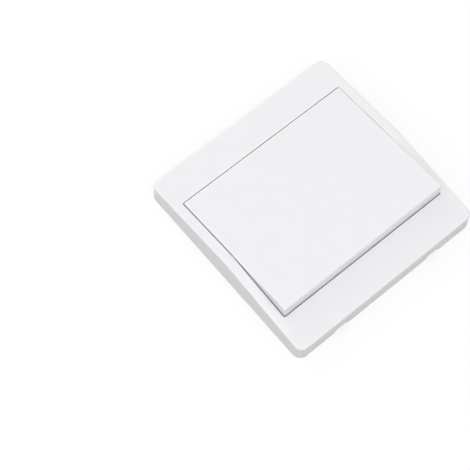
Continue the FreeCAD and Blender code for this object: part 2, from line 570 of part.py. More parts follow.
def rocker_key():
    """The key, drawn level about its pivot and then tilted until its upper half is flush."""
    body = new_body("rocker_key")
    side = new_sketch(body, "KeySide", "YZ_Plane")
    add_polygon(side, ((minus(KEY_FOOT_Y), KEY_FOOT_Z), (KEY_FOOT_Y, KEY_FOOT_Z),
                       (KEY_Y, "key_top_rise"), (minus(KEY_Y), "key_top_rise")))
    blank = pad(body, "KeyBlank", side, "2 * " + KEY_X, symmetric=True)
    top = value("key_top_rise") - 0.01
    lower = round_edges(body, "KeyLowerEdge", blank, "key_front_round",
                        lambda box: box.ZMin > top and box.YMax < -value(KEY_FOOT_Y))
    upper = round_edges(body, "KeyUpperEdge", lower, "key_round",
                        lambda box: box.ZMin > top and box.YMin > value(KEY_FOOT_Y))
    round_edges(body, "KeySideEdges", upper, "key_round",
                lambda box: box.XLength < 0.01 and box.ZMax > value(KEY_FOOT_Z) + 0.01)

    inside = new_sketch(body, "KeyInside", "YZ_Plane")
    add_polygon(inside, ((minus(KEY_FOOT_Y + " - key_wall"), KEY_FOOT_Z + " - blank_extra"),
                         (KEY_FOOT_Y + " - key_wall", KEY_FOOT_Z + " - blank_extra"),
                         (KEY_FOOT_Y + " - key_wall", KEY_INNER_Z),
                         (minus(KEY_FOOT_Y + " - key_wall"), KEY_INNER_Z)))
    pocket(body, "KeyHollow", inside, "2 * (" + KEY_X + " - key_wall)", symmetric=True)

    boss = new_sketch(body, "PinBossOutline", "YZ_Plane", KEY_X + " - key_wall - pin_boss_depth")
    add_circle(boss, "0", "0", "pin_boss")
    bosses = pad(body, "PinBoss", boss, "pin_boss_depth + key_wall / 2")
    mirror(body, "PinBosses", bosses, "YZ_Plane")
    pin = new_sketch(body, "PinOutline", "YZ_Plane", KEY_X + " - key_wall")
    add_circle(pin, "0", "0", "pin_radius")
    pins = pad(body, "Pin", pin, "key_wall + pin_length")
    mirror(body, "Pins", pins, "YZ_Plane")

    deep = new_sketch(body, "KeyEndRibOutline", "XY_Plane", KEY_INNER_Z + " + key_face_wall / 2")
    end_rib = "(" + BOARD_Y + " + 2 * key_rib)"
    for low, high in ((end_rib, end_rib + " + key_rib"),
                      (minus(end_rib + " + key_rib"), minus(end_rib))):
        add_rectangle(deep, minus(KEY_X + " - key_wall / 2"), KEY_X + " - key_wall / 2", low, high)
    pad(body, "KeyEndRibs", deep, "key_end_rib_depth + key_face_wall / 2", reverse=True)
    shallow = new_sketch(body, "KeyRibOutline", "XY_Plane", KEY_INNER_Z + " + key_face_wall / 2")
    for low, high in ((BOARD_Y + " / 3", BOARD_Y + " / 3 + key_rib"),
                      (minus(BOARD_Y + " / 3 + key_rib"), minus(BOARD_Y + " / 3"))):
        add_rectangle(shallow, minus(KEY_X + " - key_wall / 2"), KEY_X + " - key_wall / 2",
                      low, high)
    pad(body, "KeyCrossRibs", shallow, "key_rib_depth + key_face_wall / 2", reverse=True)
    lengthways = new_sketch(body, "KeyLongRibOutline", "XY_Plane",
                            KEY_INNER_Z + " + key_face_wall / 2")
    long_rib = "(" + BOARD_X + " - 2 * key_rib)"
    for left, right in ((long_rib, long_rib + " + key_rib"),
                        (minus(long_rib + " + key_rib"), minus(long_rib))):
        add_rectangle(lengthways, left, right, minus(KEY_FOOT_Y + " - key_wall / 2"),
                      KEY_FOOT_Y + " - key_wall / 2")
    pad(body, "KeyLongRibs", lengthways, "key_rib_depth + key_face_wall / 2", reverse=True)

    spigot = new_sketch(body, "KeySpigotOutline", "XY_Plane", KEY_INNER_Z + " + key_face_wall / 2")
    add_spigots(spigot)
    pad(body, "KeySpigots", spigot, "key_spigot + key_face_wall / 2", reverse=True)
    pusher = new_sketch(body, "PusherOutline", "XY_Plane", KEY_INNER_Z + " + key_face_wall / 2")
    add_rectangle(pusher, TACT_X + " - pusher_width / 2", TACT_X + " + pusher_width / 2",
                  minus(TACT_DROP + " + pusher_width / 2"),
                  minus(TACT_DROP + " - pusher_width / 2"))
    reached = (BOARD_TOP + " + tact_total - tact_travel + pusher_gap - " + PIVOT_RISE
               + " + (" + TACT_DROP + " + pusher_width / 2) * sin(" + GABLE + ")")
    pad(body, "Pusher", pusher, KEY_INNER_Z + " + key_face_wall / 2 - (" + reached
        + ") / cos(" + GABLE + ")", reverse=True)

    body.Placement = FreeCAD.Placement(FreeCAD.Vector(),
                                       FreeCAD.Rotation(FreeCAD.Vector(-1, 0, 0), value(GABLE)))
    body.setExpression("Placement.Rotation.Angle", cells(GABLE))
    move(body, x="key_side_play", z=PIVOT_RISE)
    return body


def return_spring(label, side):
    """A wire coil that stands on the base and lifts the key's lower half."""
    body = new_body(label)
    wire = new_sketch(body, label + "_wire", "XZ_Plane")
    add_rectangle(wire, "spring_coil - spring_wire", "spring_coil + spring_wire",
                  "-spring_wire", "spring_wire")
    helix = body.newObject("PartDesign::AdditiveHelix", label + "_coil")
    axis = [item for item in body.Origin.OriginFeatures if item.Role == "Z_Axis"][0]
    helix.Profile = wire
    helix.ReferenceAxis = (axis, [""])
    helix.Mode = "height-turns-growth"
    seat = ("(" + PIVOT_RISE + " + " + KEY_INNER_Z + " * cos(" + GABLE + ") + (" + SPRING_DROP
            + " - spring_coil - spring_wire) * sin(" + GABLE + "))")
    helix.setExpression("Height", cells(
        seat + " - base_floor - 2 * spring_wire - 2 * spring_seat_gap"))
    helix.setExpression("Turns", cells("spring_turns"))
    move(body, x=side + SCREW_X, y=minus(SPRING_DROP),
         z="base_floor + spring_wire + spring_seat_gap")
    doc.recompute()
    return body


def circuit_board():
    """The board: a plate with four holes over the base's posts."""
    body = new_body("circuit_board")
    outline = new_sketch(body, "BoardOutline", "XY_Plane")
    add_rectangle(outline, minus(BOARD_X), BOARD_X, minus(BOARD_Y), BOARD_Y)
    for x, y, radius in ((POST_X, POST_Y, "screw_shank + screw_hole_gap"),
                         (minus(POST_X), minus(POST_Y), "screw_shank + screw_hole_gap"),
                         (POST_X, minus(POST_Y), "peg_radius + peg_gap"),
                         (minus(POST_X), POST_Y, "peg_radius + peg_gap")):
        add_circle(outline, x, y, radius)
    blank = pad(body, "BoardBlank", outline, "board_thickness")
    width = value(BOARD_X)
    round_edges(body, "BoardCorners", blank, "board_corner",
                lambda box: is_upright(box, 0.5) and abs(abs(box.XMax) - width) < 0.01)
    move(body, z="board_rise")
    return body


def board_screws():
    """Two screws: a turned profile with a cross recess, placed over two of the posts."""
    body = new_body("board_screw")
    profile = new_sketch(body, "ScrewProfile", "XZ_Plane")
    add_polygon(profile, (("0", "-screw_length"), ("screw_shank", "-screw_length"),
                          ("screw_shank", "0"), ("screw_head", "0"),
                          ("screw_head", "screw_head_height"), ("0", "screw_head_height")))
    revolve(body, "ScrewTurned", profile)
    cross = new_sketch(body, "ScrewCross", "XY_Plane", "screw_head_height")
    arm = "screw_recess / 2"
    far = "screw_recess * 2"
    add_polygon(cross, ((minus(arm), minus(far)), (arm, minus(far)), (arm, minus(arm)),
                        (far, minus(arm)), (far, arm), (arm, arm), (arm, far),
                        (minus(arm), far), (minus(arm), arm), (minus(far), arm),
                        (minus(far), minus(arm)), (minus(arm), minus(arm))))
    pocket(body, "ScrewRecess", cross, "screw_head_height / 2")
    move(body, x=POST_X, y=POST_Y, z=BOARD_TOP)
    other = doc.addObject("Part::Mirroring", "board_screw_other")
    other.Source = body
    other.Normal = FreeCAD.Vector(1, 0, 0)
    opposite = doc.addObject("Part::Mirroring", "board_screw_opposite")
    opposite.Source = other
    opposite.Normal = FreeCAD.Vector(0, 1, 0)
    return group("board_screws", (body, opposite))


def group(label, members):
    """Gather like pieces into one node."""
    compound = doc.addObject("Part::Compound", label)
    compound.Links = list(members)
    return compound


def tact_base():
    """The push switch's moulded base, with a round well."""
    body = new_body("tact_base")
    outline = new_sketch(body, "TactOutline", "XY_Plane")
    add_rectangle(outline, "-tact_width / 2", "tact_width / 2", "-tact_width / 2", "tact_width / 2")
    pad(body, "TactBlank", outline, "tact_height")
    well = new_sketch(body, "TactWellOutline", "XY_Plane", "tact_height")
    add_circle(well, "0", "0", "tact_well")
    pocket(body, "TactWell", well, "tact_well_depth")
    move(body, x=TACT_X, y=minus(TACT_DROP), z=BOARD_TOP)
    return body


def tact_dome():
    """The snap dome on the floor of the switch's well."""
    body = new_body("tact_dome")
    profile = new_sketch(body, "DomeProfile", "XZ_Plane")
    rim = "(tact_well - dome_gap)"
    add_polygon(profile, ((rim, "0"), (rim, "dome_wall"), ("dome_crown", "dome_rise"),
                          ("0", "dome_rise"), ("0", "dome_rise - dome_wall"),
                          ("dome_crown", "dome_rise - dome_wall")))
    revolve(body, "DomeTurned", profile)
    move(body, x=TACT_X, y=minus(TACT_DROP), z=BOARD_TOP + " + tact_height - tact_well_depth")
    return body


def tact_plunger():
    """The switch's plunger: a stem on a flange that the cover holds in."""
    body = new_body("tact_plunger")
    profile = new_sketch(body, "PlungerProfile", "XZ_Plane")
    low = "(tact_height - tact_well_depth + dome_rise + dome_gap + tact_travel)"
    step = "(tact_height - dome_gap)"
    add_polygon(profile, (("0", low), ("tact_flange", low), ("tact_flange", step),
                          ("tact_stem", step), ("tact_stem", "tact_total"), ("0", "tact_total")))
    revolve(body, "PlungerTurned", profile)
    move(body, x=TACT_X, y=minus(TACT_DROP), z=BOARD_TOP)
    return body


def tact_cover():
    """The switch's sheet cover, with a hole for the stem."""
    body = new_body("tact_cover")
    outline = new_sketch(body, "CoverOutline", "XY_Plane")
    add_rectangle(outline, "-tact_width / 2", "tact_width / 2", "-tact_width / 2", "tact_width / 2")
    add_circle(outline, "0", "0", "tact_stem + tact_stem_gap")
    pad(body, "CoverPlate", outline, "tact_cover_wall")
    move(body, x=TACT_X, y=minus(TACT_DROP), z=BOARD_TOP + " + tact_height")
    return body


def gull_wing(body, name, side, reach, rise, wall, width, offset):
    """A bent lead: out of the package's side, down, and along the board."""
    lead = new_sketch(body, name + "Outline", "XZ_Plane", offset)
    bend = "(" + side + " + " + reach + " / 2)"
    add_polygon(lead, ((side, rise + " - " + wall), (bend + " - " + wall, rise + " - " + wall),
                       (bend + " - " + wall, "0"), (side + " + " + reach, "0"),
                       (side + " + " + reach, wall), (bend, wall), (bend, rise),
                       (side, rise)))
    return pad(body, name, lead, width, symmetric=True)


def tact_terminals():
    """The switch's four terminals."""
    body = new_body("tact_terminals")
    first = gull_wing(body, "Terminal", "tact_width / 2", "terminal_reach", "terminal_rise",
                      "terminal_wall", "terminal_width", "terminal_spacing / 2")
    body.Tip = first
    transform = body.newObject("PartDesign::MultiTransform", "Terminals")
    planes = {item.Role: item for item in body.Origin.OriginFeatures}
    steps = []
    for name, plane in (("TerminalsAcross", "YZ_Plane"), ("TerminalsAlong", "XZ_Plane")):
        step = body.newObject("PartDesign::Mirrored", name)
        step.MirrorPlane = (planes[plane], [""])
        steps.append(step)
    transform.Originals = [first]
    transform.Transformations = steps
    body.Tip = transform
    move(body, x=TACT_X, y=minus(TACT_DROP), z=BOARD_TOP)
    return body


def coin_cell():
    """The cell: a flat can with a bevel round its lower face."""
    body = new_body("coin_cell")
    profile = new_sketch(body, "CellProfile", "XZ_Plane")
    add_polygon(profile, (("0", "0"), ("cell_radius - cell_bevel", "0"),
                          ("cell_radius", "cell_bevel"), ("cell_radius", "cell_height"),
                          ("0", "cell_height")))
    revolve(body, "CellTurned", profile)
    move(body, x="cell_x", y=CELL_Y, z=BOARD_TOP + " + cell_lift")
    return body


def cell_holder():
    """The holder: an open ring on the board, with a mouth that the cell slides through."""
    body = new_body("cell_holder")
    outline = new_sketch(body, "HolderOutline", "XY_Plane")
    add_circle(outline, "0", "0", "cell_radius + holder_gap + holder_wall")
    add_circle(outline, "0", "0", "cell_radius + holder_gap")
    pad(body, "HolderRing", outline, "holder_height")
    mouth = new_sketch(body, "HolderMouthOutline", "XY_Plane", "holder_height")
    add_rectangle(mouth, "-holder_mouth / 2", "holder_mouth / 2", "0",
                  "cell_radius + holder_gap + holder_wall + blank_extra")
    pocket(body, "HolderMouth", mouth, "holder_height + blank_extra")
    move(body, x="cell_x", y=CELL_Y, z=BOARD_TOP)
    return body


def positive_contact():
    """A bent strip: foot on the board, up outside the holder, and over the cell."""
    body = new_body("positive_contact")
    strip = new_sketch(body, "PositiveOutline", "XZ_Plane")
    back = "-(cell_radius + 2 * holder_gap + holder_wall)"
    under = "(cell_lift + cell_height + contact_gap)"
    over = "(cell_lift + cell_height + contact_gap + contact_wall)"
    add_polygon(strip, ((back + " - contact_wall - contact_foot", "0"), (back, "0"),
                        (back, under), ("0", under), ("0", over),
                        (back + " - contact_wall", over),
                        (back + " - contact_wall", "contact_wall"),
                        (back + " - contact_wall - contact_foot", "contact_wall")))
    pad(body, "PositiveStrip", strip, "contact_width", symmetric=True)
    move(body, x="cell_x", y=CELL_Y, z=BOARD_TOP)
    return body


def negative_contact():
    """A flat leaf on the board, under the cell."""
    body = new_body("negative_contact")
    leaf = new_sketch(body, "NegativeOutline", "XY_Plane")
    add_rectangle(leaf, "-negative_width / 2", "negative_width / 2",
                  "-negative_width / 2", "negative_width / 2")
    pad(body, "NegativeLeaf", leaf, "contact_wall")
    move(body, x="cell_x", y=CELL_Y, z=BOARD_TOP)
    return body


def encoder_chip():
    """The chip's moulded package."""
    body = new_body("encoder_chip")
    outline = new_sketch(body, "ChipOutline", "XY_Plane")
    add_rectangle(outline, "-chip_width / 2", "chip_width / 2",
                  "-chip_length / 2", "chip_length / 2")
    pad(body, "ChipPackage", outline, "chip_height", draft="-chip_draft")
    move(body, x=BOARD_X + " - chip_side", y="chip_y", z=BOARD_TOP + " + chip_lift")
    return body


def encoder_leads():
    """The chip's leads, four on each side."""
    body = new_body("encoder_leads")
    first = gull_wing(body, "Lead", "chip_width / 2", "lead_reach", "lead_rise",
                      "lead_wall", "lead_width", "-1.5 * lead_pitch")
    transform = body.newObject("PartDesign::MultiTransform", "Leads")
    planes = {item.Role: item for item in body.Origin.OriginFeatures}
    across = body.newObject("PartDesign::Mirrored", "LeadsAcross")
    across.MirrorPlane = (planes["YZ_Plane"], [""])
    along = body.newObject("PartDesign::LinearPattern", "LeadsAlong")
    along.Direction = (planes["Y_Axis"], [""])
    along.Reversed = True
    along.setExpression("Length", cells("3 * lead_pitch"))
    along.Occurrences = 4
    transform.Originals = [first]
    transform.Transformations = [across, along]
    body.Tip = transform
    move(body, x=BOARD_X + " - chip_side", y="chip_y", z=BOARD_TOP)
    return body


def saw_resonator():
    """The resonator's metal can, with rounded ends."""
    body = new_body("saw_resonator")
    can = new_sketch(body, "CanOutline", "XY_Plane")
    add_slot(can, "0", "0", "(can_length / 2)", "(can_width / 2)")
    pad(body, "Can", can, "can_height")
    move(body, x=BOARD_X + " - can_side", y=CAN_Y, z=BOARD_TOP)
    return body


def rf_transistor():
    """The transistor's small moulded package."""
    body = new_body("rf_transistor")
    outline = new_sketch(body, "TransistorOutline", "XY_Plane")
    add_rectangle(outline, "-transistor_length / 2", "transistor_length / 2",
                  "-transistor_width / 2", "transistor_width / 2")
    pad(body, "TransistorPackage", outline, "transistor_height", draft="-chip_draft")
    move(body, x=BOARD_X + " - transistor_side", y=CAN_Y + " - transistor_drop",
         z=BOARD_TOP + " + chip_lift")
    return body


def antenna_loop():
    """A bent strip that stands on the board: two legs and a straight run between them."""
    body = new_body("antenna_loop")
    strip = new_sketch(body, "AntennaOutline", "YZ_Plane")
    outer = "(" + BOARD_Y + " - antenna_inset)"
    inner = "(" + outer + " - antenna_wall)"
    under = "(antenna_rise - antenna_wall)"
    add_polygon(strip, ((minus(outer), "0"), (minus(inner), "0"), (minus(inner), under),
                        (inner, under), (inner, "0"), (outer, "0"),
                        (outer, "antenna_rise"), (minus(outer), "antenna_rise")))
    bent = pad(body, "AntennaStrip", strip, "antenna_width", symmetric=True)
    top = value("antenna_rise")
    outside = round_edges(body, "AntennaOuterBends", bent, "antenna_bend",
                          lambda box: box.XLength > 0.1 and box.YLength < 0.01
                          and box.ZMin > top - 0.01)
    round_edges(body, "AntennaInnerBends", outside, "antenna_bend - antenna_wall",
                lambda box: box.XLength > 0.1 and box.YLength < 0.01
                and abs(box.ZMin - value(under)) < 0.01
                and abs(abs(box.YMin) - value(inner)) < 0.01)
    move(body, x=BOARD_X + " - antenna_side", z=BOARD_TOP)
    return body


def small_parts(label, y, rise):
    """A row of three like chips, soldered to the board."""
    members = []
    for index in range(3):
        chip = doc.addObject("Part::Box", "%s_%d" % (label, index + 1))
        chip.setExpression("Length", cells("small_width"))
        chip.setExpression("Width", cells("small_length"))
        chip.setExpression("Height", cells(rise))
        move(chip, x=BOARD_X + " - small_side + %d * small_pitch" % index, y=y, z=BOARD_TOP)
        members.append(chip)
    return group(label, members)


def check(nodes):
    """Stop on any failed object, and on any node without a sound shape."""
    doc.recompute()
    for item in doc.Objects:
        if "Invalid" in item.State or "Error" in item.State:
            raise RuntimeError(item.Name + " failed: " + str(item.State))
    for node in nodes:
        if node.Shape.isNull() or not node.Shape.isValid() or not node.Shape.Solids:
            raise RuntimeError(node.Label + " has no valid solid")


def main():
    fill_sheet()
    nodes = [front_frame(), mounting_base(), rocker_key(), circuit_board(), board_screws(),
             return_spring("return_spring_left", "-"), return_spring("return_spring_right", ""),
             tact_base(), tact_dome(), tact_plunger(), tact_cover(), tact_terminals(),
             coin_cell(), cell_holder(), positive_contact(), negative_contact(),
             encoder_chip(), encoder_leads(), saw_resonator(), rf_transistor(), antenna_loop(),
             small_parts("chip_capacitors", minus(BOARD_Y + " - capacitor_inset"),
                         "capacitor_height"),
             small_parts("chip_resistors", "chip_y + chip_length / 2 + resistor_gap",
                         "resistor_height")]
    check(nodes)
    os.makedirs("parts", exist_ok=True)
    for node in nodes:
        node.Shape.exportStep("parts/%s.step" % node.Label)


main()
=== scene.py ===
"""Looks, light and camera for the wireless wall switch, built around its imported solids."""

import math

import bpy
import numpy as np
from mathutils import Matrix, Vector


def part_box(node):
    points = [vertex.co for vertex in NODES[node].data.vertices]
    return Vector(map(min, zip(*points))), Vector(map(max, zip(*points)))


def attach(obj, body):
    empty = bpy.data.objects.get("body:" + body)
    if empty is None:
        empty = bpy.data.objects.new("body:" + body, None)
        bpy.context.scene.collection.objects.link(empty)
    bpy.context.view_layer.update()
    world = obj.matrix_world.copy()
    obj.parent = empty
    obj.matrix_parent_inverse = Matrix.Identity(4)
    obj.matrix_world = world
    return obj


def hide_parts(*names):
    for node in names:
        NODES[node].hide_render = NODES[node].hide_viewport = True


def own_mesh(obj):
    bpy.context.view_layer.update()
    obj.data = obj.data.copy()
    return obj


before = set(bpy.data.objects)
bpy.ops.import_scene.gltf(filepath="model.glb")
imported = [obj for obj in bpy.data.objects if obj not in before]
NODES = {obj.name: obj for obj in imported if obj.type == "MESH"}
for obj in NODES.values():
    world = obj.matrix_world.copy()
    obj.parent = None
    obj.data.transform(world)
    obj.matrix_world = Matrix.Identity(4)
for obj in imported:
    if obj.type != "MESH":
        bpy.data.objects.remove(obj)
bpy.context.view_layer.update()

MM = 0.001
MIL = 0.0254 * MM
TURN = 2.0 * math.pi

CAMERA_PLACE = (-0.18362, -0.14881, 0.53542)
CAMERA_RIGHT = (0.764771, -0.643590, 0.030294)
CAMERA_UP = (0.586433, 0.714786, 0.381021)
CAMERA_BACK = (-0.266875, -0.273628, 0.924070)
CAMERA_LENS = 118.63
CAMERA_SENSOR = 36.0
CAMERA_NEAR = 0.01
CAMERA_FAR = 10.0

# The floor lies a hair under the back, because two surfaces in one plane would mix.
FLOOR_HALF = 3.0
FLOOR_DROP = 0.05 * MM
FLOOR_SHADE = 0.30
FLOOR_ROUGHNESS = 0.9
FLOOR_GLOW = 0.70
SKY_LEVEL = 0.50
# Each lamp's name, place, size and power.
LAMPS = (
    ("high_lamp", (0.0, 0.0, 1.5), 1.8, 5.6),
    ("back_lamp", (0.0, 1.36, 0.634), 1.2, 6.1),
    ("front_lamp", (0.0, -0.964, 1.149), 1.8, 8.1),
    ("left_lamp", (-1.36, 0.0, 0.634), 1.2, 5.4),
)

# Looks. Scales are in features per metre. Most of a noise's values lie between NOISE_LOW and
# NOISE_HIGH, and a fuller contrast comes from CORE_LOW to CORE_HIGH. A metal's lines run along
# the axis in which its noise is stretched.
WHITE = (0.84, 0.84, 0.857)
WHITE_DEPTH = 0.5 * MM
NOISE_LOW = 0.3
NOISE_HIGH = 0.7
CORE_LOW = 0.35
CORE_HIGH = 0.65
GRAIN_DEPTH = 0.003 * MM
GRAIN_SIZE = 0.22 * MM
WAVE_SCALE = 55.0
WAVE_DEPTH = 0.012 * MM
CLOUD_SCALE = 140.0
CLOUD_SHARE = 0.035
CLOUD_DARKENING = 0.35
INSIDE_TILT = (-0.6, -0.8)
INSIDE_ROUGHER = 0.15
LINE_SCALE = 9000.0
LINE_DEPTH = 0.002 * MM
BLOTCH_SCALE = 500.0
BLOTCH_SHARE = 0.3
MASK_CLOUD_SCALE = 260.0
MASK_CLOUD_SHARE = 0.12
MASK_DIMPLE_SCALE = 900.0
MASK_ROUGHNESS = (0.22, 0.32)
WEAVE_SIZE = 0.5 * MM
WEAVE_DEPTH = 0.004 * MM
CUT_EDGE_TILT = (0.6, 0.4)
CUT_EDGE_ROUGHNESS = 0.8
CHIP_GRAIN_SCALE = 7000.0
CHIP_GRAIN_SHARE = 0.3
CHIP_GRAIN_TONE = 0.7
FINE_GRAIN_DEPTH = 0.006 * MM
MARK_OFFSET = 14.0 * MM
MARK_RADIUS = 2.0 * MM
MARK_EDGE = 0.1 * MM
MARK_DEPTH = 0.08 * MM
MASK_GREEN = (0.02, 0.16, 0.07)
MASK_LIGHT = (0.10, 0.55, 0.25)
LAMINATE_TAN = (0.45, 0.38, 0.20)
TINNED = (0.74, 0.73, 0.70, 1.0)
ALONG_X = (0.05, 1.0, 1.0)
ALONG_Y = (1.0, 0.05, 1.0)
ALL_WAYS = (0.3, 0.3, 0.3)
CHIP_HALF_BODY = 0.5 * MM
CHIP_END_BLUR = 0.02 * MM

# Edges. The widths of the rounded ones are in millimetres.
SHARP_ANGLE = math.radians(60.0)
WELD_DISTANCE = 0.002 * MM
SOFT_ANGLE = math.radians(30.0)
SOFT_SEGMENTS = 2
SOFT_EDGES = (
    ("front_frame", 0.06), ("rocker_key", 0.06), ("mounting_base", 0.10),
    ("circuit_board", 0.05), ("tact_base", 0.12), ("tact_cover", 0.05), ("tact_plunger", 0.12),
    ("cell_holder", 0.15), ("encoder_chip", 0.06), ("encoder_leads", 0.04),
    ("tact_terminals", 0.04), ("positive_contact", 0.06), ("saw_resonator", 0.3),
    ("chip_capacitors", 0.05), ("chip_resistors", 0.04), ("rf_transistor", 0.06),
    ("antenna_loop", 0.05),
)

SPRING_TURNS = 7.0
SPRING_CLOSED_TURNS = 1.0
SPRING_WIRE = 0.25 * MM

SCREW_HEAD = 1.9 * MM
SCREW_HEAD_HEIGHT = 1.2 * MM
SCREW_SHANK = 0.95 * MM
SCREW_PITCH = 0.55 * MM

# The coin cell, as (distance in from the rim, height) in millimetres.
CELL_SEGMENTS = 96
CELL_LIP = ((1.15, 0.45), (1.15, 0.3), (1.1, 0.12))
CELL_SIDE = ((0.05, 0.6), (0.0, 0.9))
CELL_SEAL = ((1.7, 0.4), (1.65, 0.16), (1.4, 0.10), (1.15, 0.14), (1.12, 0.35))
CELL_CAP = ((2.6, 0.0), (2.0, 0.02), (1.72, 0.12), (1.66, 0.4))
CELL_EDGE = 0.35 * MM
CELL_DISH = 0.02 * MM
CELL_DISH_EDGES = (0.87, 0.86)
CRIMP_MIDDLE = 0.55 * MM
CRIMP_ACROSS = 0.50 * MM
CRIMP_DOWN = 0.45 * MM

# Soldered feet: node, distance in from the ends of its box along X and Y, feet along X and Y,
# and the half width along X and Y and the rise of each joint. Lengths are in millimetres.
FEET = (
    ("tact_terminals", (0.40, 0.35), (2, 2), (0.75, 0.70, 0.16)),
    ("encoder_leads", (0.20, 0.20), (2, 4), (0.50, 0.34, 0.14)),
    ("antenna_loop", (0.00, 0.60), (1, 2), (1.10, 1.10, 0.35)),
    ("chip_capacitors", (0.40, 0.05), (3, 2), (0.50, 0.42, 0.30)),
    ("chip_resistors", (0.40, 0.05), (3, 2), (0.50, 0.42, 0.30)),
)
CONTACT_FOOT_INSET = 0.9 * MM
CONTACT_FOOT = (1.3 * MM, 2.9 * MM, 0.22 * MM)

# Copper on the board: routes and places are (x, y) in millimetres, and a via is turned from
# (radius, height) in millimetres.
TRACK_WIDTH = 14 * MIL
TRACK_RISE = 0.035 * MM
TRACK_TOP_SHARE = 0.84
TRACK_ROUTES = (
    ((2.6, -16.0), (-2.0, -16.0), (-6.0, -12.0), (-9.0, -12.0), (-9.0, -6.0)),
    ((10.4, -12.0), (13.0, -12.0), (13.0, -15.6)),
    ((10.4, -16.4), (11.4, -18.6), (17.5, -18.6), (17.5, -17.0)),
    ((15.1, -15.4), (15.1, -8.0), (11.4, -4.2), (11.4, -3.9)),
    ((17.0, -3.9), (18.6, -5.5), (18.6, -12.6), (19.6, -14.0)),
    ((12.5, 3.1), (12.5, 4.2), (9.0, 7.7), (9.0, 10.8)),
    ((14.7, 3.1), (14.7, 8.2), (16.0, 9.5), (16.0, 10.8)),
    ((16.9, 3.1), (18.2, 4.4), (18.2, 12.6), (19.6, 14.0)),
    ((11.4, -0.1), (8.0, 3.3), (8.0, 5.4)),
    ((-21.6, 5.0), (-21.6, -14.0), (-17.0, -18.6), (2.4, -18.6), (2.6, -12.2)),
    ((-21.6, 9.0), (-21.6, 14.5), (-16.5, 19.6), (12.0, 19.6), (16.5, 15.4)),
)
VIA_PROFILE = ((0.40, 0.0), (0.36, 0.04), (0.18, 0.04), (0.16, 0.0))
VIA_PLACES = (
    (-2.0, -16.0), (13.0, -12.0), (17.5, -18.6), (15.1, -8.0), (18.6, -8.0), (9.0, 8.6),
    (18.2, 9.0), (8.0, 3.3), (-21.6, -6.0), (-10.0, 19.6), (2.0, 19.6),
)

# The push switch's studs are turned from (radius, height) in millimetres.
STUD_PROFILE = ((0.45, 0.0), (0.44, 0.06), (0.36, 0.13), (0.2, 0.17), (0.05, 0.18))
STUD_INSET = 0.85 * MM
STUD_SINK = 0.01 * MM
SMALL_SEGMENTS = 20


# Materials.

class Shader:
    """One node-based material with a Principled BSDF, and short ways to add nodes to it."""

    def __init__(self, name, colour, roughness, metallic=0.0):
        self.material = bpy.data.materials.new(name)
        self.material.use_nodes = True
        self.tree = self.material.node_tree
        self.surface = self.tree.nodes["Principled BSDF"]
        self.set("Base Color", (*colour, 1.0))
        self.set("Roughness", roughness)
        self.set("Metallic", metallic)
        self.material.diffuse_color = (*colour, 1.0)

    def set(self, socket, value):
        self.surface.inputs[socket].default_value = value

    def group(self, tree, **values):
        """Adds a node group and sets its inputs, whose names have a space for each _."""
        node = self.tree.nodes.new("ShaderNodeGroup")
        node.node_tree = tree
        for name, value in values.items():
            node.inputs[name.replace("_", " ")].default_value = value
        return node

    def link(self, node, *pairs):
        """Joins outputs of a node to sockets of the surface, given as (output, socket)."""
        for output, socket in pairs:
            self.tree.links.new(node.outputs[output], self.surface.inputs[socket])


def new_group(name, inputs, outputs):
    """An empty node group: inputs are (name, kind, default), outputs (name, kind)."""
    tree = bpy.data.node_groups.new(name, "ShaderNodeTree")
    for label, kind, default in inputs:
        item = tree.interface.new_socket(name=label, in_out="INPUT",
                                         socket_type="NodeSocket" + kind)
        item.default_value = default
    for label, kind in outputs:
        tree.interface.new_socket(name=label, in_out="OUTPUT", socket_type="NodeSocket" + kind)
    return tree, tree.nodes.new("NodeGroupInput").outputs, tree.nodes.new("NodeGroupOutput").inputs


def feed(tree, socket, value):
    """Gives a socket another socket's value, or a plain one."""
    if isinstance(value, bpy.types.NodeSocket):
        tree.links.new(value, socket)
    else:
        socket.default_value = value


def position(tree):
    """The place on the object, in metres."""
    return tree.nodes.new("ShaderNodeTexCoord").outputs["Object"]


def calculate(tree, operation, *values):
    """A Math node over sockets or numbers."""
    node = tree.nodes.new("ShaderNodeMath")
    node.operation = operation
    for socket, value in zip(node.inputs, values):
        feed(tree, socket, value)
    return node.outputs["Value"]


def split(tree, vector):
    """The X, Y and Z of a vector."""
    node = tree.nodes.new("ShaderNodeSeparateXYZ")
    tree.links.new(vector, node.inputs["Vector"])
    return node.outputs["X"], node.outputs["Y"], node.outputs["Z"]


def distance(tree, x, y):
    """How far (x, y) is from the origin."""
    return calculate(tree, "SQRT", calculate(tree, "ADD", calculate(tree, "POWER", x, 2.0),
                                             calculate(tree, "POWER", y, 2.0)))


def noise(tree, vector, scale, detail=2.0):
    """Noise from 0 to 1 over a vector; scale is in features per metre."""
    node = tree.nodes.new("ShaderNodeTexNoise")
    node.inputs["Detail"].default_value = detail
    feed(tree, node.inputs["Scale"], scale)
    tree.links.new(vector, node.inputs["Vector"])
    return node.outputs["Fac"]


def ramp(tree, value, start, end, low=0.0, high=1.0):
    """Maps the range from start to end on the range from low to high, and holds its ends."""
    node = tree.nodes.new("ShaderNodeMapRange")
    feed(tree, node.inputs["Value"], value)
    for name, amount in (("From Min", start), ("From Max", end), ("To Min", low), ("To Max", high)):
        feed(tree, node.inputs[name], amount)
    return node.outputs["Result"]


def blend(tree, share, first, second):
    """Mixes two colours."""
    node = tree.nodes.new("ShaderNodeMix")
    node.data_type = "RGBA"
    feed(tree, node.inputs["Factor"], share)
    feed(tree, node.inputs[6], first)
    feed(tree, node.inputs[7], second)
    return node.outputs[2]


